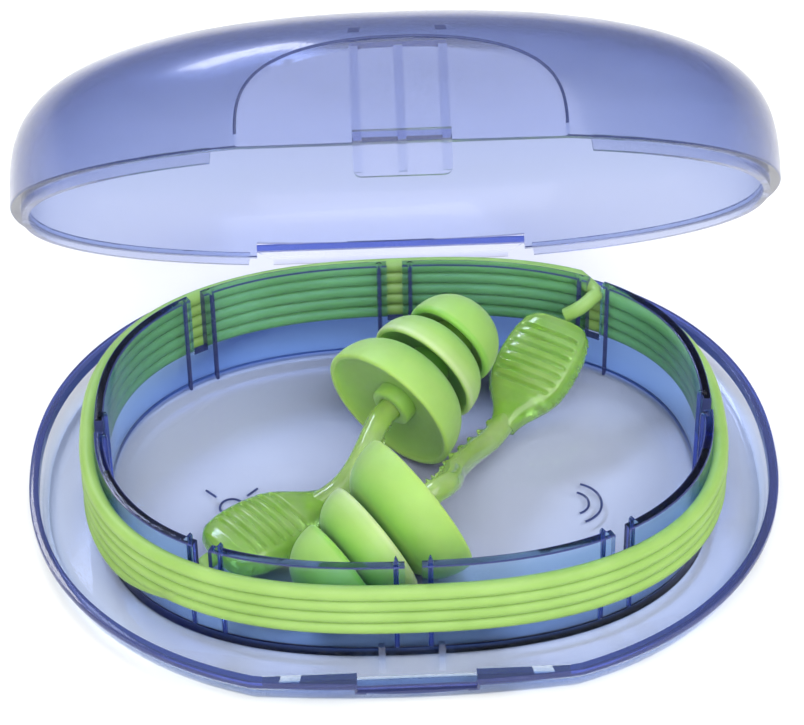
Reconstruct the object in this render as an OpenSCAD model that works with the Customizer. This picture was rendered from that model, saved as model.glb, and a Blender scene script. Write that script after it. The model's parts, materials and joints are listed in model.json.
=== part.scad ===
// Oval snap case with a cord spool, holding two corded triple-flange ear plugs.
// The origin is under the middle of the case, on the face it stands on. The lift tab faces -Y and the
// hinge faces +Y. The lid is drawn open, and turns down onto the tray about the hinge line.

/* [Case] */
// Width of the case
case_w = 70; // [66:1:80]
// Depth of the case before its front is flattened
case_d = 60; // [56:1:66]
// Height of the tray's rim
rim_h = 3.1; // [2.8:0.1:4]
// Wall thickness of the mouldings
wall = 0.9; // [0.8:0.05:1.1]
// Thickness of the tray's floor
floor_t = 0.8; // [0.7:0.05:1]
// How far the tray's front is flattened
tray_flat = 1.2; // [0.8:0.1:1.6]

/* [Lid] */
// Height of the dome above the rim
dome_h = 14.2; // [14:0.2:18]
// How far the lid is drawn open, in degrees
lid_open = 48; // [0:1:100]
// How far the lid's thumb facet is cut in
lid_flat = 1.8; // [1.4:0.1:2.2]
// Width of the lift tab
tab_w = 8.2; // [7:0.2:9]
// Length of the lift tab below the rim
tab_drop = 3; // [2:0.1:3]
// Width of the hinge's bar
hinge_w = 27; // [20:1:30]

/* [Spool] */
// Width of the oval winding wall
spool_w = 56.5; // [54:0.5:58]
// Depth of the oval winding wall
spool_d = 42.2; // [40:0.2:43]
// Height of its top above the ground
spool_h = 11.6; // [10:0.1:12.5]
// Thickness of the winding wall
spool_wall_t = 0.85; // [0.7:0.05:1]
// Width of the cord slots
slot_w = 1.5; // [1.4:0.05:2]
// Height of the slots' bottoms above the ground
slot_z = 4.8; // [4:0.1:6]

/* [Cord] */
// Diameter of the cord
cord_d = 1.4; // [1.2:0.1:1.5]

/* [Ear plugs] */
// Diameter of the largest flange
flange_d = 14; // [13:0.2:14]
// Diameter of the stems
stem_d = 2.2; // [2:0.1:2.4]
// Length of the ridged grips
grip_l = 12.4; // [9:0.2:13]
// Width of the ridged grips
grip_w = 8; // [6:0.2:8.4]
// Thickness of the ridged grips
grip_t = 3.4; // [3:0.1:3.6]

/* [Hidden] */

// Points round every oval
oval_n = 96;
// Squareness of the case's oval, of the spool's oval and of the dome's profile
case_square = 2.2;
spool_square = 2.48;
dome_square = 3.4;
// The spool stands a little forward of the middle
spool_y = -2.1;
// Gap between the closed lid and the tray
seam = 0.1;
// Hinge line
hinge = [0, case_d / 2 + 0.1, rim_h + seam];
// Height of the lid's inner lip below its rim, and how far in it sits
lip_drop = 0.85;
lip_inset = wall + 0.12;
lip_t = 0.6;
// Half widths over which the lip is left out at the front and at the back
lip_gap_front = 15.6;
lip_gap_back = 14;
// Width and height of the ribs behind the thumb facet
rib_w = 0.8;
rib_high = 8.4;
// Height of the hinge's notch in the lid's back
notch_h = 1.5;
// How quickly the tray's front curves back, per square of the distance from the middle
front_curve = 0.004;
// The notch in the tray's front wall that the lift tab lies over, and its relief and groove
sill_drop = 0.6;
sill_w = 10.4;
sill_relief = 0.5;
groove_low = 1.65;
groove_h = 0.4;
groove_deep = 0.25;
front_wall_t = 1.6;
// The lift tab's plate: gap to the lid's facet line, thickness, and how far its ribs stand out
tab_out = 0.4;
tab_t = 0.65;
tab_rib = 0.25;
// The hinge's bar
bar_h = 0.6;
bar_t = 1.1;
// Where the slots are, as angles round the spool's oval
slot_angles = [-90, -54, -2, 51, 90, 129, 182, 234];
// Guide ribs stand this far each side of a slot
rib_off = 1.5;
rib_r = 0.38;
// The wound cord: gap to the wall, heights, and its lean towards the back
coil_gap = 0.05;
coil_low = 3.8;
coil_high = 10.8;
coil_lean = 0.8;

// Largest flange's centre, and the way each plug's tip points
tip_a_at = [-1.3, 1.4, 7.9];
tip_a_turn = [0, 76.5, 48];
tip_b_at = [1.3, -11.9, 8.7];
tip_b_turn = [0, 110, 212];
// Stem routes, from the tip to the grip's neck
stem_a_route = [[-1.3, 1.4, 7.9], [-2.3, 0.2, 7.5], [-3.5, -2.4, 6.6], [-4.8, -4.4, 5.5], [-6.4, -5.3, 4.1],
    [-9.4, -7.25, 3.45]];
stem_b_route = [[1.3, -11.9, 8.7], [2.4, -11.2, 9.1], [3.5, -10.1, 8.9], [4.1, -8.3, 7.8], [4.5, -5.8, 6.5],
    [6.2, -1.8, 4.8], [8.6, 1.6, 4.0], [10.8, 4.8, 4.75]];
// Grips: the neck's place and the way the grip points
grip_a_at = [-7.6, -5.8, 3.25];
grip_a_turn = [0, 84, 218.5];
grip_b_at = [9.5, 2.9, 3.9];
grip_b_turn = [0, 68, 56.5];
// Cord routes from each grip's end, through a slot, to the winding
lead_a_route = [[-17.8, -14.0, 4.6], [-18.5, -15.5, 5.2], [-18.0, -17.3, 5.8], [-18.1, -19.0, 5.9],
    [-18.6, -20.3, 5.7]];
lead_b_route = [[16.3, 13.1, 8.9], [17.6, 13.0, 9.8], [18.7, 13.7, 10.3], [19.2, 14.6, 10.4],
    [19.6, 15.4, 10.4]];

// ---- outlines, lofts and tubes ----

function signed_pow(v, p) = sign(v) * pow(abs(v), p);
function oval_point(a, b, square, t) = [
    a * signed_pow(cos(t), 2 / square),
    b * signed_pow(sin(t), 2 / square)
];
// The case's oval, set in by inset, with its front cut back to y = -front and a gentle curve
function case_oval(inset, front, curve = 0) = [
    for (i = [0:oval_n - 1])
        let (p = oval_point(case_w / 2 - inset, case_d / 2 - inset, case_square, 360 * i / oval_n))
        [p[0], max(p[1], -front + curve * p[0] * p[0])]
];
function spool_oval(grow) = [
    for (i = [0:oval_n - 1])
        oval_point(spool_w / 2 + grow, spool_d / 2 + grow, spool_square, 360 * i / oval_n)
];
function raise(outline, z) = [for (p = outline) [p[0], p[1], z]];
function unit(v) = v / norm(v);

// A closed solid through rings of equally many points
module skin(rings) {
    n = len(rings[0]);
    m = len(rings);
    sides = [
        for (k = [0:m - 2], i = [0:n - 1], f = [0, 1])
            let (a = k * n + i, b = k * n + (i + 1) % n)
            f == 0 ? [a, b + n, b] : [a, a + n, b + n]
    ];
    bottom = [for (i = [0:n - 1]) i];
    top = [for (i = [n - 1:-1:0]) (m - 1) * n + i];
    polyhedron(points = [for (r = rings) for (p = r) p], faces = concat(sides, [bottom, top]), convexity = 6);
}

// A point between p[i] and p[i + 1] on a smooth curve through all of p
function between(p, i, f) =
    let (a = p[max(i - 1, 0)], b = p[i], c = p[i + 1], d = p[min(i + 2, len(p) - 1)])
    0.5 * (2 * b + (c - a) * f + (2 * a - 5 * b + 4 * c - d) * f * f + (3 * b - a - 3 * c + d) * f * f * f);
function smooth(p, k) = concat(
    [for (i = [0:len(p) - 2], j = [0:k - 1]) between(p, i, j / k)],
    [p[len(p) - 1]]
);
function ring(c, t, r, n) =
    let (side = unit(cross(t, [0, 0, 1])), up = cross(t, side))
    [for (j = [0:n - 1]) c + r * (cos(360 * j / n) * side + sin(360 * j / n) * up)];
function heading(p, i) = unit(p[min(i + 1, len(p) - 1)] - p[max(i - 1, 0)]);

module tube(route, r, n, k) {
    path = smooth(route, k);
    skin([for (i = [0:len(path) - 1]) ring(path[i], heading(path, i), r, n)]);
}

// ---- the case's tray ----

module base_tray() {
    front = case_d / 2 - tray_flat;
    inner_front = front - front_wall_t;
    // Heights and insets of the outer side, from its rounded foot to the upright band under the rim
    outside = [[0, 1.6], [0.15, 1.15], [0.5, 0.8], [rim_h - 0.75, 0.12], [rim_h - 0.7, 0], [rim_h, 0]];
    inside = [[floor_t, 2.4], [floor_t + 0.2, 1.7], [floor_t + 0.6, 1.2], [rim_h - 1, wall], [rim_h + 1, wall]];
    color("slateblue", 0.7)
    difference() {
        skin([for (s = outside) raise(case_oval(s[1], front - s[1], front_curve), s[0])]);
        skin([for (s = inside) raise(case_oval(s[1], inner_front - s[1] + wall), s[0])]);
        translate([-sill_w / 2, -case_d / 2, rim_h - sill_drop])
            cube([sill_w, case_d / 2 - inner_front + 1, 2]);
        // Relief that the lift tab lies in, and the groove across it
        translate([-sill_w / 2, -case_d / 2, -1])
            cube([sill_w, case_d / 2 - front + sill_relief, rim_h + 2]);
        translate([-sill_w / 2, -case_d / 2, groove_low])
            cube([sill_w, case_d / 2 - front + sill_relief + groove_deep, groove_h]);
    }
}

module at_slot(angle) {
    here = oval_point(spool_w / 2, spool_d / 2, spool_square, angle);
    there = oval_point(spool_w / 2, spool_d / 2, spool_square, angle + 1);
    along = there - here;
    translate([here[0], here[1] + spool_y, 0])
        rotate([0, 0, atan2(along[1], along[0]) - 90])
            children();
}

module spool_wall() {
    color("royalblue", 0.7)
    difference() {
        union() {
            translate([0, spool_y, floor_t])
                linear_extrude(spool_h - floor_t)
                    difference() {
                        polygon(spool_oval(0));
                        polygon(spool_oval(-spool_wall_t));
                    }
            for (a = slot_angles)
                for (s = [-1, 1])
                    at_slot(a)
                        translate([-spool_wall_t, s * rib_off, floor_t])
                            cylinder(h = spool_h - floor_t - 0.1, r = rib_r, $fn = 16);
        }
        for (a = slot_angles)
            at_slot(a)
                translate([-3, -slot_w / 2, slot_z])
                    cube([4, slot_w, spool_h]);
    }
}

module gusset(x) {
    foot = -spool_d / 2 + spool_y;
    reach = 2.1;
    rise = 1.6;
    color("mediumblue", 0.7)
    translate([x + 0.25, 0, 0])
        rotate([90, 0, -90])
            linear_extrude(0.5)
                polygon([
                    [-foot + 0.02, floor_t],
                    [-foot + reach, floor_t],
                    [-foot + 0.5, floor_t + rise],
                    [-foot + 0.02, floor_t + rise]
                ]);
}

module gusset_left() {
    gusset(-2.9);
}

module gusset_right() {
    gusset(2.4);
}

// ---- the cord ----

module cord_coil() {
    color("yellowgreen")
    translate([0, spool_y, 0])
        rotate([coil_lean, 0, 0])
            translate([0, 0, coil_low])
                linear_extrude(coil_high - coil_low)
                    difference() {
                        polygon(spool_oval(coil_gap + cord_d));
                        polygon(spool_oval(coil_gap + 0.3));
                    }
}

module cord_lead_a() {
    color("yellowgreen")
        tube(lead_a_route, cord_d / 2, 8, 3);
}

module cord_lead_b() {
    color("yellowgreen")
        tube(lead_b_route, cord_d / 2, 8, 3);
}

// ---- the lid ----

// Draws its children, made closed, as the lid stands open
module opened() {
    translate(hinge)
        rotate([-lid_open, 0, 0])
            translate(-hinge)
                children();
}

// A dome on the case's oval: inset in from the rim, high tall, flattened at y = -front
module dome(inset, high, front) {
    steps = 14;
    a = case_w / 2 - inset;
    b = case_d / 2 - inset;
    skin([
        for (k = [0:steps])
            let (rise = sin(90 * k / steps) * 0.999, shrink = pow(1 - pow(rise, dome_square), 1 / dome_square))
            [
                for (i = [0:oval_n - 1])
                    let (p = oval_point(a, b, case_square, 360 * i / oval_n) * shrink)
                    [p[0], max(p[1], -front), high * rise]
            ]
    ]);
}

module lid_shell() {
    front = case_d / 2 - lid_flat;
    color("mediumslateblue", 0.6)
    opened()
        translate([0, 0, hinge[2]])
            difference() {
                union() {
                    difference() {
                        dome(0, dome_h, front);
                        translate([0, 0, -0.01])
                            dome(wall, dome_h - wall, front - wall);
                    }
                    lip();
                    lid_ribs(front - wall);
                }
                translate([-hinge_w / 2, case_d / 2 - 3, -2])
                    cube([hinge_w, 5, notch_h + 2]);
            }
}

// Locating lip inside the rim, in a left and a right arc
module lip() {
    difference() {
        union() {
            translate([0, 0, -lip_drop])
                linear_extrude(lip_drop + 0.7)
                    lip_ring(lip_inset, lip_inset + lip_t);
            linear_extrude(0.7)
                lip_ring(wall * 0.7, lip_inset + lip_t);
        }
        translate([-lip_gap_front, -case_d, -2])
            cube([2 * lip_gap_front, case_d, 4]);
        translate([-lip_gap_back, 0, -2])
            cube([2 * lip_gap_back, case_d, 4]);
    }
}

module lip_ring(from, to) {
    difference() {
        polygon(case_oval(from, case_d));
        polygon(case_oval(to, case_d));
    }
}

// Three stiffening ribs behind the thumb facet
module lid_ribs(inner_front) {
    for (k = [0:2])
        translate([k * (tab_w - rib_w) / 2 - tab_w / 2, -inner_front - 0.2, 0])
            cube([rib_w, 0.7, rib_high]);
}

module lift_tab() {
    plate_y = -tab_out - tab_t;
    color("slateblue", 0.8)
    opened()
        translate([-tab_w / 2, lid_flat - case_d / 2, hinge[2]]) {
            // Step out over the tray's front wall, and the plate below it
            translate([0, plate_y, 0])
                cube([tab_w, tab_out + tab_t, 0.9]);
            translate([0, plate_y, -tab_drop])
                cube([tab_w, tab_t, tab_drop + 0.1]);
            // Cross ridge and the three ribs on the plate's outer face
            translate([0, plate_y - tab_rib / 2, -1.3])
                cube([tab_w, tab_rib, 0.6]);
            for (k = [0:2])
                translate([k * (tab_w - rib_w) / 2, plate_y - tab_rib, -tab_drop])
                    cube([rib_w, 2 * tab_rib, tab_drop + 0.9]);
        }
}

module hinge_bar() {
    color("darkslateblue", 0.8)
    opened()
        translate([-hinge_w / 2, case_d / 2 + 0.2 - bar_t, hinge[2] + notch_h - bar_h])
            cube([hinge_w, bar_t, bar_h]);
}

module hinge_flap() {
    low = 0.1;
    high = notch_h - bar_h;
    color("lavender", 0.7)
    opened()
        translate([0, hinge[1], hinge[2]])
            rotate([90, 0, 0])
                linear_extrude(0.3)
                    polygon([
                        [1.8 - hinge_w / 2, low],
                        [hinge_w / 2 - 1.8, low],
                        [hinge_w / 2, high],
                        [-hinge_w / 2, high]
                    ]);
}

// ---- the ear plugs ----

// Quarter of an oval arc from the rim [r, z] in to the core at radius core, high tall
function bell(r, z, core, high) = [
    for (a = [0:15:90]) [core + (r - core) * pow(cos(a), 0.8), z + high * sin(a)]
];
// The hollow under a flange, from the core out to the rim's inner edge
function hollow(r, z, core, deep) = [
    for (a = [90:-15:0]) [core + (r - core) * pow(cos(a), 0.9), z + deep * sin(a)]
];

module tip(at, turn, paint) {
    big = flange_d / 2;
    mid = big * 0.81;
    nose = big * 0.66;
    core = 2.1;
    lip = 0.7;
    bore = stem_d / 2 + 0.05;
    bore_top = 7;
    outline = concat(
        [[bore, -0.8], [core - 0.1, -0.8]],
        hollow(big - lip, 0, core, 2.6),
        bell(big, 0, core + 0.1, 5),
        hollow(mid - lip, 5.2, core, 1.7),
        bell(mid, 5.2, core + 0.1, 3.7),
        hollow(nose - lip, 9.1, core, 1.1),
        [for (a = [0:10:90]) [nose * pow(cos(a), 0.8), 9.1 + 4.6 * sin(a)]],
        [[0, bore_top], [bore, bore_top]]
    );
    color(paint)
    translate(at)
        rotate(turn)
            rotate_extrude($fn = 48)
                polygon(outline);
}

// The way a tip points
function nose(turn) = [sin(turn[1]) * cos(turn[2]), sin(turn[1]) * sin(turn[2]), cos(turn[1])];

// The stem runs from deep in the tip's bore, out of its back and along the route into the grip
module stem(at, turn, route) {
    inside = [for (d = [6.6:-2.2:2.2]) at + d * nose(turn)];
    color("greenyellow", 0.8)
        tube(concat(inside, route), stem_d / 2, 14, 4);
}

module grip(at, turn, route) {
    half = grip_w / 2 - grip_t / 2;
    color("greenyellow", 0.8)
    difference() {
        translate(at)
            rotate(turn)
                difference() {
                    hull() {
                        for (y = [-half, half])
                            for (z = [grip_l * 0.45, grip_l - grip_t / 2])
                                translate([0, y * (z > grip_l / 2 ? 0.8 : 1), z])
                                    sphere(d = grip_t, $fn = 20);
                        translate([0, 0, 0.9])
                            sphere(d = stem_d + 0.4, $fn = 20);
                    }
                    for (k = [0:6])
                        for (s = [-1, 1])
                            translate([s * grip_t / 2, 0, 3.2 + k])
                                rotate([90, 0, 0])
                                    cylinder(h = grip_w * 0.8, d = 0.45, center = true, $fn = 13);
                }
        tube(route, stem_d / 2 + 0.01, 14, 4);
    }
}

module tip_a() {
    tip(tip_a_at, tip_a_turn, "limegreen");
}

module stem_a() {
    stem(tip_a_at, tip_a_turn, stem_a_route);
}

module grip_a() {
    grip(grip_a_at, grip_a_turn, stem_a_route);
}

module tip_b() {
    tip(tip_b_at, tip_b_turn, "limegreen");
}

module stem_b() {
    stem(tip_b_at, tip_b_turn, stem_b_route);
}

module grip_b() {
    grip(grip_b_at, grip_b_turn, stem_b_route);
}

base_tray();
spool_wall();
gusset_left();
gusset_right();
cord_coil();
cord_lead_a();
cord_lead_b();
lid_shell();
lift_tab();
hinge_bar();
hinge_flap();
tip_a();
stem_a();
grip_a();
tip_b();
stem_b();
grip_b();
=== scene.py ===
import json
import math
import random

import bmesh
import bpy
from mathutils import Matrix, Vector


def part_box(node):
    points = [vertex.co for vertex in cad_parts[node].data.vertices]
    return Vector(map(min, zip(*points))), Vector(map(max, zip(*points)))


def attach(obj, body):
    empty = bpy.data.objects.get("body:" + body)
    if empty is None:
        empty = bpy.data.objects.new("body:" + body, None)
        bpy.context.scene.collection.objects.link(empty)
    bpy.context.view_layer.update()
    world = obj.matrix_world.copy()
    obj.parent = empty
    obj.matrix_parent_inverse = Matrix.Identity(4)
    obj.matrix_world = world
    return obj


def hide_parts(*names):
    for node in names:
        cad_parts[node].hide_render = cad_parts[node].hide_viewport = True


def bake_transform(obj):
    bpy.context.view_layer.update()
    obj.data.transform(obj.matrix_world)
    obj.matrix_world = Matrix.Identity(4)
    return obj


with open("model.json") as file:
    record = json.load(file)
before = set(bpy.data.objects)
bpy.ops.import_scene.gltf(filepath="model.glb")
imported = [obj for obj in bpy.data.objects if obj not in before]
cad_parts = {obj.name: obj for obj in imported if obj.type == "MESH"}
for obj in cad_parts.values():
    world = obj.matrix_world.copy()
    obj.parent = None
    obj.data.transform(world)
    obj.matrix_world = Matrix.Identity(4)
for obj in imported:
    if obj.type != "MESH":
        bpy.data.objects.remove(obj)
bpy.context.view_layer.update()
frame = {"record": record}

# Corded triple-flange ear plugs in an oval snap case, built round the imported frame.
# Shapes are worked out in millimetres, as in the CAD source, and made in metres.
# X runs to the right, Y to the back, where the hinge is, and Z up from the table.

MM = 0.001
SCENE = bpy.context.scene


def box_mm(node):
    """A node's lowest and highest corners, in millimetres."""
    low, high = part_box(node)
    return Vector(low) / MM, Vector(high) / MM


def joint(name):
    return next(j for j in frame["record"]["behaviour"]["joints"] if j["name"] == name)


# ---- driving sizes, from the frame ----

_, TRAY_HIGH = box_mm("base_tray")
SPOOL_LOW, SPOOL_HIGH = box_mm("spool_wall")
CASE_A, CASE_B = TRAY_HIGH.x, TRAY_HIGH.y  # half width and half depth of the case's oval
RIM_Z = TRAY_HIGH.z
SPOOL_A = SPOOL_HIGH.x
SPOOL_B = (SPOOL_HIGH.y - SPOOL_LOW.y) / 2
SPOOL_Y = (SPOOL_HIGH.y + SPOOL_LOW.y) / 2
SPOOL_Z = SPOOL_HIGH.z
FLOOR_Z = SPOOL_LOW.z
LID_HINGE = joint("lid_hinge")
HINGE = Vector(LID_HINGE["pos_m"]) / MM
LID_OPEN = -math.radians(LID_HINGE["range_deg"][0])

# As the CAD source has them
CASE_SQUARE, SPOOL_SQUARE, DOME_SQUARE = 2.2, 2.48, 3.4  # powers of the ovals: 2 is an ellipse
WALL, SPOOL_WALL_T = 0.9, 0.85
DOME_H = 14.2
TRAY_FRONT, LID_FRONT, INNER_FRONT = 28.8, 28.2, 27.2  # how far forward the flat fronts stand
SLOT_ANGLES = (-90, -54, -2, 51, 90, 129, 182, 234)
SLOT_W, SLOT_Z = 1.5, 4.8
CORD_D = 1.4
RING = 240  # points round every oval

# ---- camera: the photograph's viewing angle ----

AZIMUTH, ELEVATION, ROLL = math.radians(-1.84), math.radians(40), math.radians(0.89)
DISTANCE = 296.5
TARGET = Vector((0.79, 22.44, 0.5))
LENS, SHIFT_Y = 132.45, -0.0463


def add_camera():
    back = Vector((
        math.sin(AZIMUTH) * math.cos(ELEVATION),
        -math.cos(AZIMUTH) * math.cos(ELEVATION),
        math.sin(ELEVATION),
    ))
    right = Vector((math.cos(AZIMUTH), math.sin(AZIMUTH), 0))
    turn = Matrix((right, back.cross(right), back)).transposed().to_4x4()
    data = bpy.data.cameras.new("camera")
    data.lens = LENS
    data.shift_y = SHIFT_Y
    data.clip_start = 0.01
    camera = bpy.data.objects.new("camera", data)
    camera.matrix_world = (
        Matrix.Translation((TARGET + back * DISTANCE) * MM) @ turn @ Matrix.Rotation(-ROLL, 4, "Z")
    )
    SCENE.collection.objects.link(camera)
    SCENE.camera = camera


add_camera()

# ---- ovals, meshes and tubes ----


def signed_pow(v, p):
    return math.copysign(abs(v) ** p, v)


def oval(a, b, square):
    """Points of a squared oval with half axes a and b."""
    out = []
    for i in range(RING):
        t = 2 * math.pi * i / RING
        out.append((a * signed_pow(math.cos(t), 2 / square), b * signed_pow(math.sin(t), 2 / square)))
    return out


def case_ring(inset, z, front=math.inf, curve=0.0):
    """The case's oval drawn in by inset. front: where it is cut off flat, or slightly curved."""
    return [
        Vector((x, max(y, -front + curve * x * x), z))
        for x, y in oval(CASE_A - inset, CASE_B - inset, CASE_SQUARE)
    ]


def spool_ring(grow, z):
    return [Vector((x, y + SPOOL_Y, z)) for x, y in oval(SPOOL_A + grow, SPOOL_B + grow, SPOOL_SQUARE)]


def spool_place(degrees, grow=0.0):
    """A point on the spool's outline at that angle of its oval, and the way out of the wall there."""
    def at(d):
        t = math.radians(d)
        return Vector((
            (SPOOL_A + grow) * signed_pow(math.cos(t), 2 / SPOOL_SQUARE),
            (SPOOL_B + grow) * signed_pow(math.sin(t), 2 / SPOOL_SQUARE) + SPOOL_Y,
            0,
        ))
    along = (at(degrees + 0.5) - at(degrees - 0.5)).normalized()
    return at(degrees), Vector((along.y, -along.x, 0))


def make(name, points, faces):
    """A mesh object from points in millimetres."""
    mesh = bpy.data.meshes.new(name)
    mesh.from_pydata([Vector(p) * MM for p in points], [], faces)
    bm = bmesh.new()
    bm.from_mesh(mesh)
    bmesh.ops.recalc_face_normals(bm, faces=bm.faces)
    bm.to_mesh(mesh)
    bm.free()
    obj = bpy.data.objects.new(name, mesh)
    SCENE.collection.objects.link(obj)
    return obj


def skin(name, rings):
    """A closed mesh through rings of equally many points."""
    n = len(rings[0])
    points = [p for ring in rings for p in ring]
    faces = [
        (k * n + i, k * n + (i + 1) % n, (k + 1) * n + (i + 1) % n, (k + 1) * n + i)
        for k in range(len(rings) - 1)
        for i in range(n)
    ]
    faces.append(tuple(range(n)))
    faces.append(tuple(reversed(range(len(points) - n, len(points)))))
    return make(name, points, faces)


def prism(name, outline, low, high, place=Matrix.Identity(4)):
    """An outline in X and Z, drawn out from low to high along Y, then placed."""
    front = [place @ Vector((x, low, z)) for x, z in outline]
    back = [place @ Vector((x, high, z)) for x, z in outline]
    return skin(name, [front, back])


def block(name, low, high, place=Matrix.Identity(4)):
    """A cutter or a rib, straight-sided between two corners, then placed."""
    (x0, y0, z0), (x1, y1, z1) = low, high
    return prism(name, [(x0, z0), (x1, z0), (x1, z1), (x0, z1)], y0, y1, place)


def smooth_path(points, steps):
    """Points on a smooth curve through all of points."""
    out = []
    last = len(points) - 1
    for i in range(last):
        a, b, c, d = (points[min(max(k, 0), last)] for k in (i - 1, i, i + 1, i + 2))
        for j in range(steps):
            f = j / steps
            squared = (2 * a - 5 * b + 4 * c - d) * f ** 2
            cubed = (3 * b - a - 3 * c + d) * f ** 3
            out.append(0.5 * (2 * b + (c - a) * f + squared + cubed))
    out.append(points[last])
    return out


def boolean(obj, tool, operation):
    """Cuts tool from obj or joins it on, and removes tool."""
    step = obj.modifiers.new(operation, "BOOLEAN")
    step.operation = operation
    step.solver = "EXACT"
    step.object = tool
    settle(obj)
    bpy.data.objects.remove(tool, do_unlink=True)


def settle(obj):
    """Puts obj's modifiers into its mesh."""
    bpy.context.view_layer.update()
    evaluated = obj.evaluated_get(bpy.context.evaluated_depsgraph_get())
    mesh = bpy.data.meshes.new_from_object(evaluated)
    obj.modifiers.clear()
    old = obj.data
    obj.data = mesh
    bpy.data.meshes.remove(old)


def gather(name, objects):
    """One object with the meshes of several."""
    bm = bmesh.new()
    for obj in objects:
        bm.from_mesh(obj.data)
        bpy.data.objects.remove(obj, do_unlink=True)
    mesh = bpy.data.meshes.new(name)
    bm.to_mesh(mesh)
    bm.free()
    obj = bpy.data.objects.new(name, mesh)
    SCENE.collection.objects.link(obj)
    return obj


def smooth(obj, degrees, weighted=False):
    """Smooth shading, with edges sharper than degrees kept.

    weighted: large faces keep their own normals, so that light passes straight through flat walls.
    """
    for face in obj.data.polygons:
        face.use_smooth = True
    obj.data.set_sharp_from_angle(angle=math.radians(degrees))
    if weighted:
        step = obj.modifiers.new("weighted", "WEIGHTED_NORMAL")
        step.keep_sharp = True
        step.weight = 90
        settle(obj)


# ---- the cord: one length, from grip A round the spool to grip B ----

# The CAD's routes: from grip A's end out to its slot, and from its slot in to grip B's end
LEAD_A = [Vector(p) for p in (
    (-17.8, -14.0, 4.6), (-18.5, -15.5, 5.2), (-18.0, -17.3, 5.8), (-18.1, -19.0, 5.9),
)]
LEAD_B = [Vector(p) for p in (
    (19.2, 14.6, 10.4), (18.7, 13.7, 10.3), (17.6, 13.0, 9.8), (16.3, 13.1, 8.9),
)]
COIL_START, COIL_END = 234, 51 - 4 * 360
COIL_GAP = 0.05
COIL_FIRST_Z, COIL_PITCH, COIL_LEAN = 4.1, 1.34, 0.45
COIL_EASE = 26  # degrees over which the cord climbs from its first slot to its turn
END_BEND, END_ARC = 1.1, 5  # how far the ends bend in to their slots, and over how many degrees
STEPS_PER_TURN = 120
LEAD_STEPS = 8


def coil_points():
    """The turns on the spool, rising from one slot to the other."""
    out = []
    total = COIL_START - COIL_END
    count = int(total / 360 * STEPS_PER_TURN)
    for k in range(count + 1):
        turned = total * k / count
        degrees = COIL_START - turned
        point, outward = spool_place(degrees, COIL_GAP + CORD_D / 2)
        lean = COIL_LEAN * (1 + math.sin(math.radians(degrees))) / 2
        z = COIL_FIRST_Z + COIL_PITCH * turned / 360 + lean
        start = max(0.0, 1 - turned / COIL_EASE)
        z += (LEAD_A[-1].z - z) * start * start * (3 - 2 * start)
        # No turn lies quite evenly
        angle = math.radians(turned)
        wander = 0.05 * math.sin(7 * angle / 4.5) + 0.03 * math.sin(angle * 2.3)
        left = total - turned
        inward = END_BEND * max(0.0, 1 - turned / END_ARC) ** 2 + END_BEND * max(0.0, 1 - left / END_ARC) ** 2
        out.append(point + outward * (wander * 0.5 - inward) + Vector((0, 0, z + wander * 0.3)))
    return out


def add_cord():
    turns = coil_points()
    start = smooth_path(LEAD_A + [turns[2]], LEAD_STEPS)
    end = smooth_path([turns[-3]] + LEAD_B, LEAD_STEPS)
    path = start[:-1] + turns[2:-2] + end[1:]
    curve = bpy.data.curves.new("cord", "CURVE")
    curve.dimensions = "3D"
    # The points' radius scales the bevel, and counts in the curve's bounds, so it holds the millimetre
    curve.bevel_depth = CORD_D / 2
    curve.bevel_resolution = 5
    curve.use_fill_caps = True
    spline = curve.splines.new("POLY")
    spline.points.add(len(path) - 1)
    for target, p in zip(spline.points, path):
        target.co = (p.x * MM, p.y * MM, p.z * MM, 1)
        target.radius = MM
    obj = bpy.data.objects.new("cord", curve)
    SCENE.collection.objects.link(obj)
    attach(obj, "case")
    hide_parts("cord_coil", "cord_lead_a", "cord_lead_b")
    return obj


cord = add_cord()

# ---- materials ----


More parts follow.
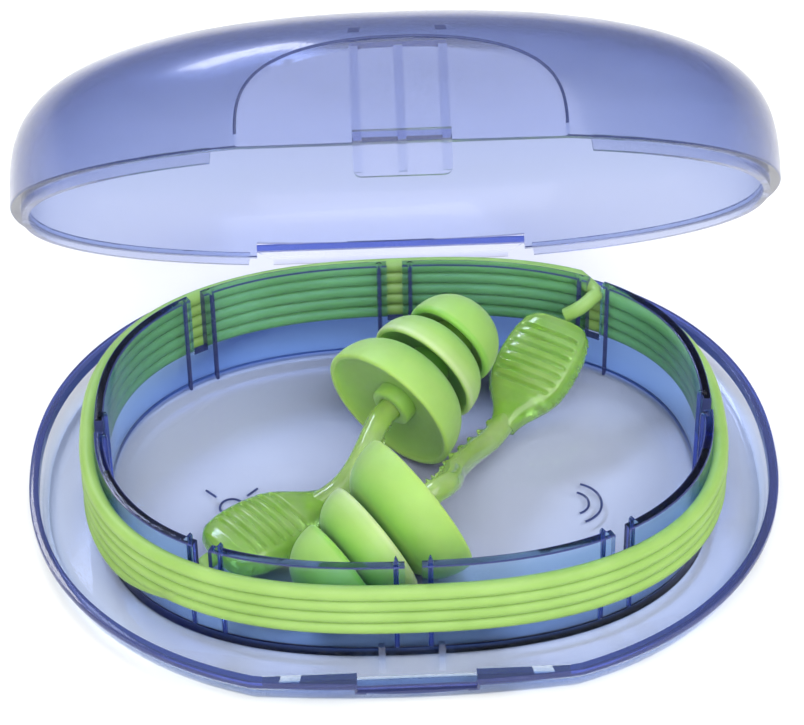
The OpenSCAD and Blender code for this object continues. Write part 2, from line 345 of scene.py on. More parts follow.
class Paint:
    """A material with one Principled shader, and short names for making nodes."""

    def __init__(self, name, **values):
        """values: the shader's sockets, with underscores for spaces."""
        self.material = bpy.data.materials.new(name)
        self.material.use_nodes = True
        self.tree = self.material.node_tree
        self.shader = self.tree.nodes["Principled BSDF"]
        for key, value in values.items():
            self.shader.inputs[key.replace("_", " ")].default_value = value

    def node(self, kind, **values):
        """values: the node's own settings or its sockets."""
        made = self.tree.nodes.new(kind)
        for key, value in values.items():
            if hasattr(made, key):
                setattr(made, key, value)
            else:
                made.inputs[key.replace("_", " ")].default_value = value
        return made

    def link(self, source, target):
        self.tree.links.new(source, target)

    def drive(self, socket, source):
        self.link(source, self.shader.inputs[socket])

    def noise(self, scale, detail):
        made = self.node("ShaderNodeTexNoise", Scale=scale, Detail=detail)
        self.link(self.node("ShaderNodeTexCoord").outputs["Object"], made.inputs["Vector"])
        return made.outputs["Fac"]

    def ramp(self, factor, stops):
        """stops: (place, colour) pairs; a grey colour may be one number."""
        made = self.node("ShaderNodeValToRGB")
        elements = made.color_ramp.elements
        while len(elements) < len(stops):
            elements.new(0.5)
        for element, (place, colour) in zip(elements, stops):
            element.position = place
            rgb = (colour,) * 3 if isinstance(colour, float) else colour
            element.color = (*rgb, 1)
        self.link(factor, made.inputs["Fac"])
        return made.outputs["Color"]

    def bump(self, height, distance, strength):
        made = self.node("ShaderNodeBump", Strength=strength, Distance=distance)
        self.link(height, made.inputs["Height"])
        self.drive("Normal", made.outputs["Normal"])

    def glass(self, lamp_tint, absorb, density):
        """Lets lamps through the surface, and darkens what is seen through thick places."""
        output = self.tree.nodes["Material Output"]
        clear = self.node("ShaderNodeBsdfTransparent", Color=(*lamp_tint, 1))
        path = self.node("ShaderNodeLightPath")
        mix = self.node("ShaderNodeMixShader")
        self.link(path.outputs["Is Shadow Ray"], mix.inputs["Fac"])
        self.link(self.shader.outputs["BSDF"], mix.inputs[1])
        self.link(clear.outputs["BSDF"], mix.inputs[2])
        self.link(mix.outputs["Shader"], output.inputs["Surface"])
        volume = self.node("ShaderNodeVolumeAbsorption", Color=(*absorb, 1), Density=density)
        self.link(volume.outputs["Volume"], output.inputs["Volume"])


def case_paint(name, tint, clear=1.0):
    """The tray's clear, polished plastic. clear: how much light goes through its surface."""
    paint = Paint(
        name, Base_Color=(*tint, 1), Transmission_Weight=clear, IOR=1.2,
        Roughness=0.04, Coat_Weight=0.3, Coat_Roughness=0.03,
    )
    paint.drive("Roughness", paint.ramp(paint.noise(260, 3), [(0.35, 0.06), (0.7, 0.14)]))
    paint.bump(paint.noise(90, 2), 0.00002, 0.25)
    paint.glass((0.985, 0.98, 0.99), (0.19, 0.46, 0.88), 420)
    return paint.material


def lid_paint(name, tint, clear=0.98):
    """The lid's plastic, which a fine grain makes slightly cloudy."""
    paint = Paint(
        name, Base_Color=(*tint, 1), Transmission_Weight=clear, IOR=1.28,
        Roughness=0.2, Coat_Weight=0.25, Coat_Roughness=0.06,
    )
    paint.drive("Roughness", paint.ramp(paint.noise(140, 3), [(0.3, 0.16), (0.75, 0.26)]))
    paint.bump(paint.noise(4200, 2), 0.00003, 0.35)
    paint.glass((0.98, 0.98, 0.99), (0.2, 0.36, 0.74), 740)
    return paint.material


MIX_A, MIX_B, MIX_RESULT = 6, 7, 2  # the Mix node's colour sockets


def flange_paint():
    """Soft matt rubber with painted glow and shade: paler where the thin attribute is high, as if light shone
    through thin rims, and darker towards the thick core.
    """
    paint = Paint(
        "flange_rubber", Roughness=0.5, IOR=1.42, Subsurface_Weight=0.8, Subsurface_Scale=0.0026,
        Subsurface_Radius=(0.9, 1.0, 0.25), Sheen_Weight=0.15, Sheen_Roughness=0.5,
    )
    thin = paint.node("ShaderNodeAttribute", attribute_name="thin").outputs["Fac"]
    # Painted glow and shade: dark green at the thick core, pale yellow-green at thin rims
    colour = paint.ramp(thin, [
        (0.0, (0.12, 0.36, 0.05)), (0.45, (0.23, 0.48, 0.07)), (0.8, (0.32, 0.52, 0.12)),
        (1.0, (0.45, 0.6, 0.26)),
    ])
    cloud = paint.node("ShaderNodeMix", data_type="RGBA", blend_type="MULTIPLY")
    cloud.inputs["Factor"].default_value = 1.0
    paint.link(colour, cloud.inputs[MIX_A])
    paint.link(paint.ramp(paint.noise(330, 3), [(0.3, 0.9), (0.7, 1.0)]), cloud.inputs[MIX_B])
    paint.drive("Base Color", cloud.outputs[MIX_RESULT])
    paint.drive("Roughness", paint.ramp(paint.noise(1500, 3), [(0.3, 0.42), (0.7, 0.58)]))
    paint.bump(paint.noise(6000, 2), 0.00002, 0.25)
    return paint.material


def stem_paint(name, dark, light):
    """The plugs' harder plastic: glossy, part clear, and uneven inside."""
    paint = Paint(
        name, Transmission_Weight=0.7, IOR=1.33, Roughness=0.1, Subsurface_Weight=0.3,
        Subsurface_Scale=0.001, Subsurface_Radius=(0.9, 1.0, 0.2), Coat_Weight=0.6, Coat_Roughness=0.04,
    )
    paint.drive("Base Color", paint.ramp(paint.noise(420, 3), [(0.3, dark), (0.75, light)]))
    paint.bump(paint.noise(700, 3), 0.00012, 0.3)
    return paint.material


def cord_paint():
    """Soft vinyl with a dull shine."""
    paint = Paint(
        "cord", Roughness=0.5, IOR=1.45, Subsurface_Weight=0.25, Subsurface_Scale=0.0006,
        Subsurface_Radius=(0.9, 1.0, 0.25), Coat_Weight=0.12, Coat_Roughness=0.3,
    )
    cloud = paint.noise(180, 3)
    paint.drive("Base Color", paint.ramp(cloud, [(0.3, (0.23, 0.4, 0.08)), (0.7, (0.29, 0.47, 0.12))]))
    paint.bump(paint.noise(3500, 2), 0.00003, 0.3)
    return paint.material


CASE_PAINT = case_paint("case_plastic", (0.99, 0.92, 0.84))
LID_PAINT = lid_paint("lid_plastic", (0.96, 0.94, 0.945))
# Painted shade and tint: rims, ribs, edges and marks get darker, deeper blue copies of the clear plastic, and
# the winding wall a less red, bluer-green copy. They stand in for the colour that gathers where the eye looks
# along the plastic
CASE_WALL_TINT = case_paint("case_plastic_wall_tint", (0.8, 0.97, 1.0))
CASE_EDGE_SHADE = case_paint("case_plastic_edge_shade", (0.2, 0.25, 0.7), 0.8)
LID_EDGE_SHADE = lid_paint("lid_plastic_edge_shade", (0.19, 0.25, 0.67), 0.8)
FLANGE_PAINT = flange_paint()
STEM_PAINT = stem_paint("stem_plastic", (0.55, 0.8, 0.2), (0.72, 0.92, 0.38))
GRIP_PAINT = stem_paint("grip_plastic", (0.4, 0.72, 0.1), (0.6, 0.87, 0.26))
cord.data.materials.append(cord_paint())


def finish_piece(obj, paints, body, slot, *nodes, choose=lambda middle: 0):
    """Paints a piece and ties it to the frame.

    choose: which of the paints a face has, from its middle in millimetres.
    """
    obj.data.materials.clear()
    for paint in paints:
        obj.data.materials.append(paint)
    for face in obj.data.polygons:
        face.material_index = choose(face.center / MM)
    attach(obj, body)
    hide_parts(*nodes)


def outside(p, inset):
    """Whether a point lies beyond the case's oval drawn in by inset, or in front of its flat front."""
    across = abs(p.x / (CASE_A - inset)) ** CASE_SQUARE + abs(p.y / (CASE_B - inset)) ** CASE_SQUARE
    return across > 1 or p.y < inset - TRAY_FRONT


def within_spool(p, inset):
    """Whether a point lies inside the winding wall's outline drawn in by inset."""
    a, b = SPOOL_A - inset, SPOOL_B - inset
    return abs(p.x / a) ** SPOOL_SQUARE + abs((p.y - SPOOL_Y) / b) ** SPOOL_SQUARE < 1


# ---- the case: tray, winding wall, ribs and gussets in one moulding ----

FRONT_CURVE = 0.004
SILL_HALF = 5.2
RIM_SHADE_BAND, SILL_SHADE_BAND = 0.72, 1.7  # how far down the rim's painted edge shade reaches, and how far at the sill
MARKS = ((-16.2, -3.4), (15.6, -4.6))
MARK_REACH, MARK_LINE = 3.6, 0.12  # from a mark's middle to its ends, and half its line's width
RIB_OUT = 1.5  # from a slot's middle to the rib on each side
RIB_SECTION = (  # across the winding wall and along it
    (-0.4, -0.34), (-0.4, 0.34), (-SPOOL_WALL_T - 0.42, 0.12), (-SPOOL_WALL_T - 0.42, -0.12),
)
PLAIN, EDGE_SHADE, SPOOL_TINT = 0, 1, 2  # the case's paints: plain, the painted edge shade, and the winding wall's painted tint


def case_face(p):
    """Which paint a face has: the darker edge copy, as painted shade, on the rim's band, the sill, the ribs,
    the slots' sides and the marks; the winding wall's painted tint on the wall; the plain plastic elsewhere.
    """
    if outside(p, WALL + 0.1):
        band = SILL_SHADE_BAND if abs(p.x) < SILL_HALF else RIM_SHADE_BAND
        return EDGE_SHADE if RIM_Z - band < p.z < RIM_Z + 0.1 else PLAIN
    if not within_spool(p, -0.1) or p.z < FLOOR_Z + 0.01:
        return PLAIN
    if within_spool(p, SPOOL_WALL_T + 0.06):
        near_mark = min((p.xy - Vector(at)).length for at in MARKS) < MARK_REACH
        return EDGE_SHADE if p.z > FLOOR_Z + 0.52 or near_mark else PLAIN
    in_wall = within_spool(p, 0.08) and not within_spool(p, SPOOL_WALL_T - 0.08)
    slot_side = in_wall and SLOT_Z - 0.1 < p.z < SPOOL_Z - 0.1
    top_edge = SPOOL_Z - 0.1 < p.z < SPOOL_Z - 0.005
    return EDGE_SHADE if top_edge or slot_side else SPOOL_TINT


def tray_rings():
    """Rings from the tray's underside out, over its rim, in to the well's floor."""
    rings = []
    # Outer side, from the flat underside up, and then the rim's band
    for inset, z in (
        (2.4, 0.0), (1.5, 0.0), (1.2, 0.1), (1.0, 0.26), (0.86, 0.5), (0.5, 1.3), (0.16, RIM_Z - 0.76),
        (0.03, RIM_Z - 0.7), (0.0, RIM_Z - 0.62), (0.0, RIM_Z - 0.14), (0.04, RIM_Z - 0.04), (0.14, RIM_Z),
    ):
        rings.append(case_ring(inset, z, TRAY_FRONT - inset, FRONT_CURVE))
    # Over the rim and down the inner side to the moat's floor
    for inset, z in (
        (WALL - 0.14, RIM_Z), (WALL - 0.04, RIM_Z - 0.04), (WALL, RIM_Z - 0.14), (WALL, RIM_Z - 1.0),
        (1.0, FLOOR_Z + 0.85), (1.25, FLOOR_Z + 0.48), (1.6, FLOOR_Z + 0.2), (2.0, FLOOR_Z + 0.06),
        (2.35, FLOOR_Z + 0.04), (2.42, FLOOR_Z),
    ):
        rings.append(case_ring(inset, z, INNER_FRONT - inset + WALL))
    # The winding wall, outside, over the top and inside
    for grow, z in (
        (0.3, FLOOR_Z), (0.1, FLOOR_Z + 0.08), (0.0, FLOOR_Z + 0.3), (0.0, SPOOL_Z - 0.12),
        (-0.03, SPOOL_Z - 0.03), (-0.12, SPOOL_Z), (0.12 - SPOOL_WALL_T, SPOOL_Z),
        (0.03 - SPOOL_WALL_T, SPOOL_Z - 0.03), (-SPOOL_WALL_T, SPOOL_Z - 0.12),
        (-SPOOL_WALL_T, FLOOR_Z + 0.5), (-SPOOL_WALL_T - 0.15, FLOOR_Z + 0.16),
        (-SPOOL_WALL_T - 0.5, FLOOR_Z), (-2.9, FLOOR_Z), (-2.98, FLOOR_Z - 0.05),
    ):
        rings.append(spool_ring(grow, z))
    return rings


def slot_frames():
    """A frame at each slot in the winding wall, with X pointing out of the wall."""
    out = []
    for degrees in SLOT_ANGLES:
        here, outward = spool_place(degrees)
        out.append(Matrix.Translation(here) @ Matrix.Rotation(math.atan2(outward.y, outward.x), 4, "Z"))
    return out


def slot_cutters():
    low, high = (-3, -SLOT_W / 2, SLOT_Z), (1.5, SLOT_W / 2, SPOOL_Z + 2)
    return [block("slot", low, high, place) for place in slot_frames()]


def guide_ribs():
    """The ribs on both sides of each slot, inside the wall, with a pointed top."""
    out = []
    for place in slot_frames():
        for middle in (-RIB_OUT, RIB_OUT):
            foot = [place @ Vector((x, y + middle, FLOOR_Z - 0.3)) for x, y in RIB_SECTION]
            head = [place @ Vector((x, y + middle, SPOOL_Z)) for x, y in RIB_SECTION]
            peak = [
                place @ Vector((x * 0.6 - 0.35, y * 0.3 + middle, SPOOL_Z + 0.35)) for x, y in RIB_SECTION
            ]
            out.append(skin("rib", [foot, head, peak]))
    return out


def gussets():
    """The two small webs between the winding wall's front and the tray's floor."""
    low, high = FLOOR_Z - 0.2, FLOOR_Z + 1.6
    outline = [(0.3, low), (-2.1, low), (-2.1, FLOOR_Z), (-0.5, high), (0.3, high)]
    out = []
    for x in (-2.9, 2.4):
        place = Matrix.Translation((x, SPOOL_LOW.y, 0)) @ Matrix.Rotation(math.pi / 2, 4, "Z")
        out.append(prism("gusset", outline, -0.3, 0.3, place))
    return out


def wire(name, points, radius, closed=False, flat=Vector((0, 0, 1))):
    """A thin moulded line: a round rod along points, in millimetres, that lie in a plane across flat."""
    rings = []
    sides = 8
    count = len(points)
    for i, p in enumerate(points):
        if closed:
            along = points[(i + 1) % count] - points[i - 1]
        else:
            along = points[min(i + 1, count - 1)] - points[max(i - 1, 0)]
        side = along.cross(flat).normalized()
        up = side.cross(along).normalized()
        rings.append([
            p + radius * (math.cos(a) * side + math.sin(a) * up)
            for a in (2 * math.pi * j / sides for j in range(sides))
        ])
    if not closed:
        return skin(name, rings)
    points = [p for ring in rings for p in ring]
    faces = [
        (k * sides + i, k * sides + (i + 1) % sides,
         (k + 1) % count * sides + (i + 1) % sides, (k + 1) % count * sides + i)
        for k in range(count)
        for i in range(sides)
    ]
    return make(name, points, faces)


def arc(centre, radius, start, end, steps=24):
    """Points of an arc on the well's floor, from start to end in degrees."""
    return [
        Vector((
            centre[0] + radius * math.cos(math.radians(start + (end - start) * k / steps)),
            centre[1] + radius * math.sin(math.radians(start + (end - start) * k / steps)),
            FLOOR_Z - 0.03,
        ))
        for k in range(steps + 1)
    ]


def floor_marks():
    """Plain raised marks on the well's floor: a ring with four ticks, and two nested brackets."""
    left, right = MARKS
    out = [wire("mark", arc(left, 1.1, 0, 345, 32)[:-1], MARK_LINE, closed=True)]
    for k in range(4):
        degrees = 45 + 90 * k
        tip = arc(left, 2.0, degrees, degrees, 1)[0]
        end = arc(left, 3.4, degrees, degrees, 1)[0]
        out.append(wire("mark", [tip, (tip + end) / 2, end], MARK_LINE))
    for radius in (1.5, 2.7):
        out.append(wire("mark", arc(right, radius, -70, 70), MARK_LINE))
    return out


def add_case():
    obj = skin("case_moulding", tray_rings())
    boolean(obj, gather("adds", guide_ribs() + gussets()), "UNION")
    # The sill that the lift tab drops over, the flat in front of it and the groove across that
    sill = block("sill", (-SILL_HALF, -CASE_B, RIM_Z - 0.6), (SILL_HALF, 1 - INNER_FRONT, RIM_Z + 2))
    boolean(obj, gather("cuts", slot_cutters() + [sill]), "DIFFERENCE")
    relief = block("relief", (-SILL_HALF, -CASE_B, -1), (SILL_HALF, 0.5 - TRAY_FRONT, RIM_Z + 2))
    boolean(obj, relief, "DIFFERENCE")
    groove = block("groove", (-SILL_HALF, -CASE_B, 1.65), (SILL_HALF, 0.75 - TRAY_FRONT, 2.05))
    boolean(obj, groove, "DIFFERENCE")
    boolean(obj, gather("marks", floor_marks()), "UNION")
    smooth(obj, 30, weighted=True)
    finish_piece(
        obj, (CASE_PAINT, CASE_EDGE_SHADE, CASE_WALL_TINT), "case", "case_plastic",
        "base_tray", "spool_wall", "gusset_left", "gusset_right", choose=case_face,
    )


add_case()

# ---- the lid: dome, thumb facet, lip, ribs, lift tab and hinge bar in one moulding ----

SEAM_Z = HINGE.z
NOTCH_HALF, NOTCH_H = 13.5, 1.5  # the notch in the lid's back, where the hinge is
TAB_HALF, TAB_T = 4.1, 0.6
TAB_DROP, TAB_CORNER = 3.0, 0.7  # how far the tab hangs below the seam, and its corners' radius
TAB_FACE = -LID_FRONT - 0.4
TAB_BACK = TAB_FACE - TAB_T
LIP_INSET, LIP_T, LIP_DROP = WALL + 0.12, 0.6, 0.85
LIP_GAP_FRONT, LIP_GAP_BACK = 15.6, 14.0  # half widths of the gaps in the lip
LID_RIB_HALF, TAB_RIB_HALF = 0.38, 0.35
BEAD_R = 0.13
BEYOND = 5  # how far a cutter reaches past the lid
OPENED = (  # from the closed lid to the lid at rest
    Matrix.Translation(HINGE) @ Matrix.Rotation(-LID_OPEN, 4, "X") @ Matrix.Translation(-HINGE)
)


def dome(name, inset, high, low=0.0):
    """A dome on the case's oval, with its rim at the seam plus low. It ends just short of a point."""
    a, b = CASE_A - inset, CASE_B - inset
    rings = []
    steps = 30
    for k in range(steps + 1):
        rise = math.sin(math.pi / 2 * k / steps) * 0.9995
        shrink = (1 - rise ** DOME_SQUARE) ** (1 / DOME_SQUARE)
        z = SEAM_Z + low + (high - low) * rise
        rings.append([Vector((x * shrink, y * shrink, z)) for x, y in oval(a, b, CASE_SQUARE)])
    if inset == 0:
        # Rounded lower edge
        rings[0:1] = [case_ring(0.12, SEAM_Z), case_ring(0.03, SEAM_Z + 0.04), case_ring(0, SEAM_Z + 0.13)]
    return skin(name, rings)


def ring_solid(name, outer, inner, low, high):
    """An oval hoop between two insets, made as one closed mesh."""
    rings = [case_ring(outer, low), case_ring(outer, high), case_ring(inner, high), case_ring(inner, low)]
    n = RING
    points = [p for ring in rings for p in ring]
    faces = [
        (k * n + i, k * n + (i + 1) % n, (k + 1) % 4 * n + (i + 1) % n, (k + 1) % 4 * n + i)
        for k in range(4)
        for i in range(n)
    ]
    return make(name, points, faces)


def lip():
    """The hoop that drops inside the tray's rim, with a seat that joins it to the dome."""
    inner, top = LIP_INSET + LIP_T, SEAM_Z + 0.35
    obj = ring_solid("lip", LIP_INSET, inner, SEAM_Z - LIP_DROP, top)
    boolean(obj, ring_solid("seat", WALL * 0.6, inner, SEAM_Z + 0.02, top), "UNION")
    # The lip stops short of the facet and of the hinge, with slanted ends
    for half, low, high in ((LIP_GAP_FRONT, -CASE_B - BEYOND, 0), (LIP_GAP_BACK, 0, CASE_B + BEYOND)):
        slant = [(-half - 0.5, -2), (half + 0.5, -2), (half, 1.5), (-half, 1.5)]
        outline = [(x, z + SEAM_Z) for x, z in slant]
        boolean(obj, prism("gap", outline, low, high), "DIFFERENCE")
    return obj


def lid_block(name, x0, x1, y0, y1, above0, above1):
    """A block on the closed lid, with its heights above the seam."""
    return block(name, (x0, y0, SEAM_Z + above0), (x1, y1, SEAM_Z + above1))


def lid_parts():
    """The three ribs inside the facet, and the hinge bar over the notch."""
    out = []
    for k in (-1, 0, 1):
        x = k * (TAB_HALF - 0.4)
        out.append(lid_block(
            "rib", x - LID_RIB_HALF, x + LID_RIB_HALF, -INNER_FRONT - 0.5, -INNER_FRONT + 0.5, 0.04, 8.4,
        ))
    half = NOTCH_HALF + 0.1
    out.append(lid_block("bar", -half, half, CASE_B - 0.9, CASE_B + 0.2, NOTCH_H - 0.6, NOTCH_H + 0.05))
    return out


def tab_parts():
    """The lift tab, with rounded lower corners, its cross ridge and its three ribs."""
    outline = [(TAB_HALF, 0.9), (-TAB_HALF, 0.9)]
    for side, start in ((-1, 180), (1, 270)):
        for k in range(7):
            a = math.radians(start + 15 * k)
            x = side * (TAB_HALF - TAB_CORNER) + TAB_CORNER * math.cos(a)
            outline.append((x, TAB_CORNER - TAB_DROP + TAB_CORNER * math.sin(a)))
    out = [prism("plate", [(x, z + SEAM_Z) for x, z in outline], TAB_BACK, TAB_FACE)]
    half = TAB_HALF - 0.01
    out.append(lid_block("step", -half, half, TAB_BACK + 0.05, 0.3 - LID_FRONT, 0.05, 0.88))
    half = TAB_HALF - 0.02
    out.append(lid_block("ridge", -half, half, TAB_BACK - 0.15, TAB_BACK + 0.2, -0.15, 0.2))
    for k in (-1, 0, 1):
        x = k * (TAB_HALF - 0.45)
        out.append(lid_block(
            "rib", x - TAB_RIB_HALF, x + TAB_RIB_HALF, TAB_BACK - 0.25, TAB_BACK + 0.25, 0.3 - TAB_DROP, 0.8,
        ))
    return out


def facet_outline():
    """Where the thumb facet's plane meets the dome, from one end of the arch to the other."""
    top = (1 - (LID_FRONT / CASE_B) ** DOME_SQUARE) ** (1 / DOME_SQUARE)
    half = []
    steps = 60
    for k in range(steps + 1):
        rise = top * math.sin(math.pi / 2 * k / steps) * 0.9999
        shrink = (1 - rise ** DOME_SQUARE) ** (1 / DOME_SQUARE)
        across = max(1 - (LID_FRONT / (CASE_B * shrink)) ** CASE_SQUARE, 0.0) ** (1 / CASE_SQUARE)
        half.append((CASE_A * shrink * across, SEAM_Z + 0.15 + DOME_H * rise))
    left = [Vector((-x, -LID_FRONT, z)) for x, z in half]
    right = [Vector((x, -LID_FRONT, z)) for x, z in reversed(half)]
    return left + right[1:]


def lid_face(p):
    """Which paint a face has: the darker edge copy, as painted shade, on the rim, the facet's bead, the sides
    of the ribs inside and on the tab, and the hinge bar; the plain plastic elsewhere.
    """
    above = p.z - SEAM_Z
    rim = abs(above) < 0.16 and outside(p, WALL + 0.02)
    bead = p.y < -LID_FRONT - 0.02 and above > 1
    rib = abs(p.x) < TAB_HALF + 0.2 and -INNER_FRONT + 0.04 < p.y < -INNER_FRONT + 0.45 and above > 0
    tab_rib = -LID_FRONT - 1.24 < p.y < -LID_FRONT - 1.02
    bar = abs(p.x) < NOTCH_HALF + 0.2 and p.y > CASE_B - 1.05 and 0.85 < above < 1.62
    return EDGE_SHADE if rim or bead or rib or tab_rib or bar else PLAIN


def add_lid():
    obj = dome("lid_moulding", 0, DOME_H)
    above_dome = 30
    front = (-CASE_A, -CASE_B - BEYOND, 0)
    boolean(obj, block("facet", front, (CASE_A, -LID_FRONT, above_dome)), "DIFFERENCE")
    hollow = dome("hollow", WALL, DOME_H - WALL, -0.6)
    boolean(hollow, block("face", front, (CASE_A, -INNER_FRONT, above_dome)), "DIFFERENCE")
    boolean(obj, hollow, "DIFFERENCE")
    notch = lid_block("notch", -NOTCH_HALF, NOTCH_HALF, CASE_B - 3, CASE_B + 2, -2, NOTCH_H)
    boolean(obj, notch, "DIFFERENCE")
    boolean(obj, lip(), "UNION")
    for part in lid_parts() + tab_parts():
        boolean(obj, part, "UNION")
    boolean(obj, wire("bead", facet_outline(), BEAD_R, flat=Vector((0, 1, 0))), "UNION")
    smooth(obj, 28, weighted=True)
    finish_piece(
        obj, (LID_PAINT, LID_EDGE_SHADE), "lid", "lid_plastic",
        "lid_shell", "lift_tab", "hinge_bar", choose=lid_face,
    )
    obj.data.transform(Matrix.Scale(MM, 4) @ OPENED @ Matrix.Scale(1 / MM, 4))


def add_flap():
    """The thin living hinge, from the tray's rim over the fold to the lid's bar."""
    rings = []
    fold_half = NOTCH_HALF - 1.6
    rows = (
        (fold_half, Vector((0, CASE_B - 0.3, RIM_Z - 0.1))),
        (fold_half, Vector((0, CASE_B + 0.02, RIM_Z + 0.03))),
        (fold_half + 0.1, OPENED @ Vector((0, CASE_B + 0.06, SEAM_Z + 0.15))),
        (NOTCH_HALF - 0.6, OPENED @ Vector((0, CASE_B, SEAM_Z + 0.5))),
        (NOTCH_HALF - 0.1, OPENED @ Vector((0, CASE_B - 0.05, SEAM_Z + NOTCH_H - 0.62))),
    )
    thick = 0.22
    up = Vector((0, -0.5, 0.86)) * thick
    for half, at in rows:
        left, right = at + Vector((-half, 0, 0)), at + Vector((half, 0, 0))
        rings.append([left, right, right + up, left + up])
    obj = skin("hinge_film", rings)
    smooth(obj, 50)
    obj.data.materials.append(LID_PAINT)
    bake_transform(obj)
    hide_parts("hinge_flap")


add_lid()
add_flap()

# ---- the ear plugs ----


def pointed(polar, azimuth):
    """The turn that points a Z axis: by polar about Y and then azimuth about Z, in degrees."""
    return Matrix.Rotation(math.radians(azimuth), 4, "Z") @ Matrix.Rotation(math.radians(polar), 4, "Y")


# Places, ways and stem routes are the CAD's. seam: where round the stem its seam lies, in degrees
PLUGS = {
    "a": {
        "tip": Vector((-1.3, 1.4, 7.9)), "tip_turn": (76.5, 48),
        "stem": ((-1.3, 1.4, 7.9), (-2.3, 0.2, 7.5), (-3.5, -2.4, 6.6), (-4.8, -4.4, 5.5), (-6.4, -5.3, 4.1),
                 (-9.4, -7.25, 3.45)),
        "grip": Vector((-7.6, -5.8, 3.25)), "grip_turn": (84, 218.5), "seam": 215, "seed": 4,
    },
    "b": {
        "tip": Vector((1.3, -11.9, 8.7)), "tip_turn": (110, 212),
        "stem": ((1.3, -11.9, 8.7), (2.4, -11.2, 9.1), (3.5, -10.1, 8.9), (4.1, -8.3, 7.8), (4.5, -5.8, 6.5),
                 (6.2, -1.8, 4.8), (8.6, 1.6, 4.0), (10.8, 4.8, 4.75)),
        "grip": Vector((9.5, 2.9, 3.9)), "grip_turn": (68, 56.5), "seam": 150, "seed": 9,
    },
}
FLANGE_R = 7.0
MID_R, MID_Z = FLANGE_R * 0.81, 5.2
NOSE_R, NOSE_Z = FLANGE_R * 0.66, 9.1
STEM_R = 1.1
CORE_R = 2.1
LATHE = 96  # points round a tip


def bell(r, z, core, high, power=0.8):
    """Quarter of an oval arc from a flange's rim in to the core."""
    out = []
    steps = 16
    for k in range(steps + 1):
        a = math.pi / 2 * k / steps
        out.append((core + (r - core) * max(math.cos(a), 0.0) ** power, z + high * math.sin(a)))
    return out


def flange(r, z, deep, high):
    """The hollow behind a flange from the core out, its rounded rim, and its outside in to the core."""
    inside = list(reversed(bell(r - 0.55, z + 0.05, CORE_R, deep, 0.9)))
    rim = [(r - 0.42, z - 0.06), (r - 0.16, z - 0.04), (r - 0.04, z + 0.06), (r, z + 0.22)]
    return inside + rim + bell(r, z + 0.3, CORE_R + 0.1, high - 0.3)


def tip_outline():
    """Radius and height of the lathe's outline, from the stem's bore to the nose."""
    bore = STEM_R + 0.05
    collar = [(bore, 1.4), (bore, 0.35), (bore + 0.15, 0.2), (CORE_R - 0.25, 0.2), (CORE_R - 0.03, 0.36)]
    cap = [(NOSE_R * max(math.cos(a), 0.0) ** 0.8, NOSE_Z + 0.3 + 4.3 * math.sin(a))
           for a in (math.pi / 2 * k / 24 for k in range(24))]
    return (
        collar
        + flange(FLANGE_R, 0, 1.5, 5)
        + flange(MID_R, MID_Z, 1.3, 3.7)
        + list(reversed(bell(NOSE_R - 0.6, NOSE_Z, CORE_R, 1.1, 0.9)))
        + [(NOSE_R - 0.4, NOSE_Z - 0.08), (NOSE_R - 0.12, NOSE_Z), (NOSE_R - 0.02, NOSE_Z + 0.15)]
        + cap
    )


def thin_glow_and_shade(r, z):
    """How thin the rubber is at a point of the outline, most at the flanges' rims and least at the core. It
    sets painted glow and shade: thin rims painted paler as if light shone through, the thick core darker.
    """
    upper = (NOSE_R, NOSE_Z)
    rim_r, rim_z = next((rim for rim in ((FLANGE_R, 0), (MID_R, MID_Z)) if z < rim[1] + 4.4), upper)
    along = min(max((r - CORE_R) / (rim_r - CORE_R), 0.0), 1.0)
    if rim_z == NOSE_Z and z > NOSE_Z + 0.2:
        return 0.45 + 0.3 * along
    return along ** 2.2 * (0.9 if abs(z - rim_z) > 0.3 else 1.0)


def add_tip(key, plug):
    """The three soft flanges and their core, turned on a lathe."""
    outline = tip_outline()
    place = Matrix.Translation(plug["tip"]) @ pointed(*plug["tip_turn"])
    rings = [
        [place @ Vector((r * math.cos(a), r * math.sin(a), z))
         for a in (2 * math.pi * k / LATHE for k in range(LATHE))]
        for r, z in outline
    ]
    obj = skin("tip_" + key + "_flanges", rings)
    # Painted glow and shade: the thin attribute makes thin rims paler and the thick core darker
    thin = obj.data.attributes.new("thin", "FLOAT", "POINT")
    for k, (r, z) in enumerate(outline):
        value = thin_glow_and_shade(r, z)
        if k < len(outline) / 4 and z < 2:
            # Painted light: the first hollow is painted paler, as if daylight filled it
            value = 0.6 + 0.2 * min(max((r - CORE_R) / (FLANGE_R - CORE_R), 0.0), 1.0)
        for i in range(LATHE):
            thin.data[k * LATHE + i].value = value
    smooth(obj, 60)
    finish_piece(obj, (FLANGE_PAINT,), "plug_" + key, "flange_rubber", "tip_" + key)


IN_TIP = (6.6, 4.4, 2.2)  # the stem's first points, inside the tip
STEM_STEPS, STEM_SIDES = 14, 36
SEAM_HALF = 16  # degrees over which the seam rises on each side


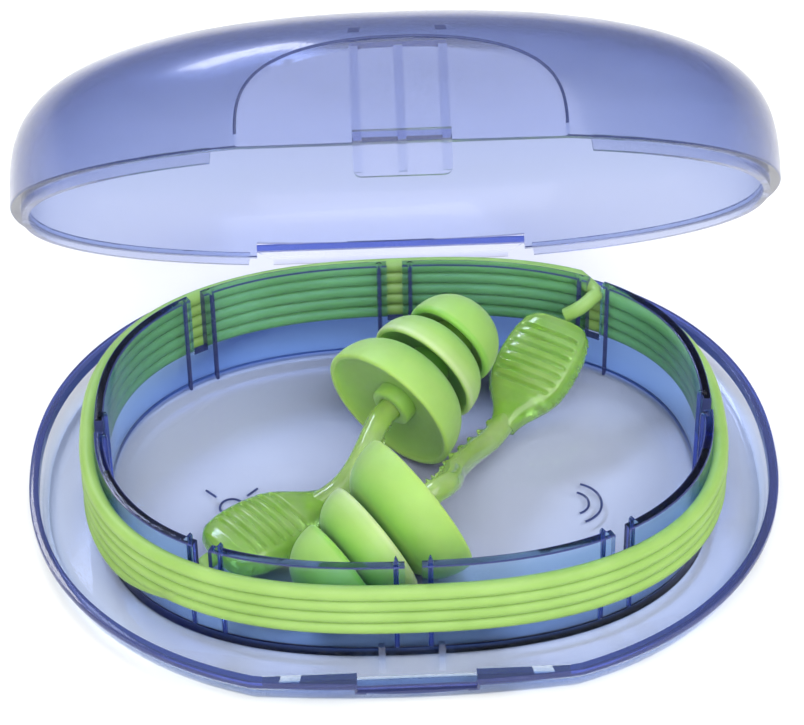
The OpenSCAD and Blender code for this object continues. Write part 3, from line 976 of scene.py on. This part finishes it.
def add_stem(key, plug):
    """A round stem with a ragged moulding seam along one side."""
    rng = random.Random(plug["seed"])
    nose = (pointed(*plug["tip_turn"]) @ Vector((0, 0, 1))).normalized()
    route = [plug["tip"] + nose * d for d in IN_TIP] + [Vector(p) for p in plug["stem"]]
    path = smooth_path(route, STEM_STEPS)
    rings = []
    bare = len(IN_TIP) * STEM_STEPS + 8  # where the seam starts
    for i, p in enumerate(path):
        along = (path[min(i + 1, len(path) - 1)] - path[max(i - 1, 0)]).normalized()
        side = along.cross(Vector((0, 0, 1))).normalized()
        up = side.cross(along).normalized()
        tooth = rng.uniform(0.22, 0.42) if i > bare and i % 6 in (2, 3, 4) else 0.0
        ring = []
        for j in range(STEM_SIDES):
            a = 2 * math.pi * j / STEM_SIDES
            off = abs((math.degrees(a) - plug["seam"] + 180) % 360 - 180)
            r = STEM_R + tooth * max(0.0, 1 - off / SEAM_HALF)
            ring.append(p + r * (math.cos(a) * side + math.sin(a) * up))
        rings.append(ring)
    obj = skin("stem_" + key + "_rod", rings)
    smooth(obj, 50)
    finish_piece(obj, (STEM_PAINT,), "plug_" + key, "stem_plastic", "stem_" + key)


GRIP_SHAPE = (  # along, half width, half thickness
    (0.0, 1.2, 1.1), (0.9, 1.45, 1.25), (2.0, 2.1, 1.45), (3.4, 3.1, 1.62), (4.9, 3.75, 1.7),
    (7.3, 3.97, 1.7), (9.7, 3.8, 1.62), (11.3, 3.35, 1.45), (12.1, 2.7, 1.15), (12.4, 1.8, 0.75),
)
GROOVES = [4.3 + 1.0 * k for k in range(7)]  # places along the grip
GROOVE_HALF, GROOVE_DEEP = 0.3, 0.34
GROOVE_REACH = 0.82  # part of the half width that the grooves cross
GRIP_SQUARE = 0.62  # power that squares the paddle's section
GRIP_SIDES, GRIP_STEPS = 72, 150


def between(table, s):
    """The row of a table at s: straight between its rows, with the half width rounded."""
    last = len(table) - 1
    i = max(k for k in range(last) if table[k][0] <= s) if s > 0 else 0
    a, b, c, d = (Vector(table[min(max(k, 0), last)]) for k in (i - 1, i, i + 1, i + 2))
    f = (s - b.x) / (c.x - b.x)
    row = b + (c - b) * f
    row.y += 0.25 * f * (1 - f) * ((b.y - a.y) - (d.y - c.y))
    return row


def add_grip(key, plug):
    """A flat paddle with cross grooves on both faces and a raised seam round its edge."""
    rng = random.Random(plug["seed"] + 1)
    place = Matrix.Translation(plug["grip"]) @ pointed(*plug["grip_turn"])
    rings = []
    length = GRIP_SHAPE[-1][0]
    for k in range(GRIP_STEPS + 1):
        s = length * k / GRIP_STEPS
        _, wide, thick = between(GRIP_SHAPE, s)
        reach = wide * GROOVE_REACH
        groove = max(max(0.0, 1 - abs(s - g) / GROOVE_HALF) for g in GROOVES)
        groove = groove * groove * (3 - 2 * groove)
        nick = rng.uniform(0.0, 0.16) if 2 < s < 11.5 else 0.0
        ring = []
        for j in range(GRIP_SIDES):
            a = 2 * math.pi * j / GRIP_SIDES
            y = wide * signed_pow(math.cos(a), GRIP_SQUARE)
            x = thick * signed_pow(math.sin(a), GRIP_SQUARE)
            if abs(y) < reach:
                x -= math.copysign(GROOVE_DEEP * groove * min(1.0, (reach - abs(y)) * 4), x)
            if abs(math.sin(a)) < 0.12:
                y += math.copysign(nick, y)
            ring.append(place @ Vector((x, y, s)))
        rings.append(ring)
    obj = skin("grip_" + key + "_paddle", rings)
    smooth(obj, 45)
    finish_piece(obj, (GRIP_PAINT,), "plug_" + key, "stem_plastic", "grip_" + key)


for key, plug in PLUGS.items():
    add_tip(key, plug)
    add_stem(key, plug)
    add_grip(key, plug)

# ---- floor and light ----


def add_floor():
    """The table, 4 m across."""
    far = 2000
    corners = [(-far, -far, 0), (far, -far, 0), (far, far, 0), (-far, far, 0)]
    floor = make("floor", corners, [(0, 1, 2, 3)])
    paint = Paint("floor", Roughness=0.7)
    paint.drive("Base Color", paint.ramp(paint.noise(40, 2), [(0.3, 0.92), (0.7, 0.945)]))
    floor.data.materials.append(paint.material)


def add_light(name, place, target, size, power):
    """A softbox, in metres and watts."""
    data = bpy.data.lights.new(name, "AREA")
    data.shape = "RECTANGLE"
    data.size, data.size_y = size
    data.energy = power
    lamp = bpy.data.objects.new(name, data)
    lamp.location = place
    lamp.rotation_euler = (Vector(target) - Vector(place)).to_track_quat("-Z", "Y").to_euler()
    SCENE.collection.objects.link(lamp)


def add_world():
    world = bpy.data.worlds.new("studio")
    world.use_nodes = True
    background = world.node_tree.nodes["Background"]
    background.inputs["Color"].default_value = (1, 1, 1, 1)
    background.inputs["Strength"].default_value = 0.54
    SCENE.world = world


add_floor()
add_world()
add_light("key", (-0.22, 0.36, 0.46), (0, 0.01, 0.01), size=(0.3, 0.1), power=1.5)
add_light("fill", (0.12, -0.36, 0.55), (0, 0, 0.01), size=(0.8, 0.5), power=4.2)
add_light("front", (-0.05, -0.65, 0.28), (0, 0, 0.01), size=(1.0, 0.5), power=2.4)
# Light stays long inside clear mouldings, so their edges need many bounces to show their colour
SCENE.cycles.max_bounces = 24
SCENE.cycles.glossy_bounces = 16
SCENE.cycles.transmission_bounces = 24
SCENE.view_settings.view_transform = "Standard"
